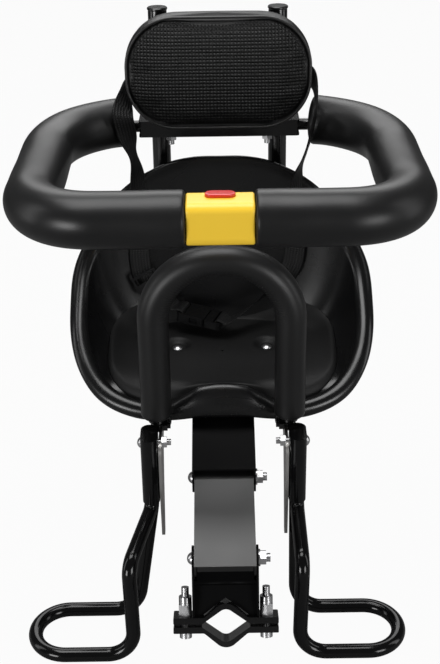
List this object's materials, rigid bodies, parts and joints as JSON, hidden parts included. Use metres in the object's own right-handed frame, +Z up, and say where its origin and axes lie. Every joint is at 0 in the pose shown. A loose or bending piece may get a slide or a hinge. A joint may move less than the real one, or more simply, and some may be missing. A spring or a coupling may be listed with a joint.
{
  "type": "child bike seat",
  "caption": "Front child bike seat: moulded bucket on a frame tube clamp, with a padded hinged guard ring, headrest, grab handle, harness and bent-rod footrests.",
  "frame": {"origin": "centre of the V clamp, on the axis of the bicycle frame tube that it holds", "axes": "+Z up, -Y towards the front of the seat where the child faces, +X to the right when seen from the front"},
  "size_m": [0.387, 0.3985, 0.5485],
  "materials": {
    "shell_plastic": "glossy moulded black",
    "pad_fabric": "matte black with a fine woven dot",
    "foam": "satin black foam",
    "webbing": "woven black",
    "buckle_yellow": "satin yellow",
    "button_red": "glossy red",
    "black_metal": "glossy black powder coat",
    "plate_metal": "glossy black",
    "bright_steel": "zinc plated"
  },
  "bodies": {
    "clamp_base": {"lower_bracket": "black_metal", "upper_jaw": "black_metal", "jaw_nuts": "bright_steel", "link_bolt": "bright_steel", "link_nut": "bright_steel"},
    "jaw_lower": {"lower_jaw": "black_metal", "jaw_screws": "bright_steel"},
    "link_arm": {"link": "black_metal"},
    "seat_body": {"base_plate": "black_metal", "footrest_bolts": "bright_steel", "footrest_nuts": "bright_steel", "handle_bolts": "black_metal", "handle_grip": "foam", "handle_nuts": "black_metal", "handle_tube": "black_metal", "harness_clasp": "shell_plastic", "harness_latch": "shell_plastic", "headrest_pad": "pad_fabric", "headrest_saddles": "shell_plastic", "headrest_shell": "shell_plastic", "hinge_bolts": "bright_steel", "hinge_bracket": "black_metal", "hinge_nuts": "bright_steel", "pan_nuts": "bright_steel", "pan_screws": "bright_steel", "post_caps": "shell_plastic", "post_left": "black_metal", "post_right": "black_metal", "saddle_caps": "shell_plastic", "saddle_nuts": "bright_steel", "saddle_screws": "bright_steel", "seat_pad": "pad_fabric", "seat_shell": "shell_plastic", "side_plate_left": "plate_metal", "side_plate_right": "plate_metal", "strap_left": "webbing", "strap_right": "webbing", "strap_slide": "shell_plastic", "tilt_bolt": "bright_steel", "tilt_nut": "bright_steel", "upper_channel": "black_metal"},
    "guard_left": {"arm_tube_left": "black_metal", "arm_foam_left": "foam", "latch_buckle": "buckle_yellow"},
    "guard_right": {"arm_tube_right": "black_metal", "arm_foam_right": "foam", "latch_tongue": "bright_steel"},
    "button": {"release_button": "button_red"},
    "foot_left": {"footrest_left": "black_metal", "footrest_sleeve_left": "black_metal"},
    "foot_right": {"footrest_right": "black_metal", "footrest_sleeve_right": "black_metal"}
  },
  "joints": [
    {"name": "jaw_opening", "type": "slide", "parent": "clamp_base", "child": "jaw_lower", "axis": [0, -0.342, -0.9397], "range_m": [0, 0.006]},
    {"name": "link_pivot", "type": "hinge", "parent": "clamp_base", "child": "link_arm", "pos_m": [0, 0.02121, 0.05826], "axis": [1, 0, 0], "range_deg": [-15, 15]},
    {"name": "seat_tilt", "type": "hinge", "parent": "link_arm", "child": "seat_body", "pos_m": [0, 0.1132, 0.0846], "axis": [1, 0, 0], "range_deg": [-10, 10]},
    {"name": "guard_left_swing", "type": "hinge", "parent": "seat_body", "child": "guard_left", "pos_m": [-0.0495, 0.3412, 0.3644], "axis": [0, -0.061, -0.9981], "range_deg": [0, 20]},
    {"name": "guard_right_swing", "type": "hinge", "parent": "seat_body", "child": "guard_right", "pos_m": [0.0495, 0.3412, 0.3644], "axis": [0, 0.061, 0.9981], "range_deg": [0, 20]},
    {"name": "button_press", "type": "slide", "parent": "guard_left", "child": "button", "axis": [0, -0.061, -0.9981], "range_m": [0, 0.0025], "stiffness_N_per_m": 600},
    {"name": "footrest_left_pivot", "type": "hinge", "parent": "seat_body", "child": "foot_left", "pos_m": [-0.071, 0.1052, 0.132], "axis": [1, 0, 0], "range_deg": [-12, 12]},
    {"name": "footrest_right_pivot", "type": "hinge", "parent": "seat_body", "child": "foot_right", "pos_m": [0.071, 0.1052, 0.132], "axis": [1, 0, 0], "range_deg": [-12, 12]}
  ]
}
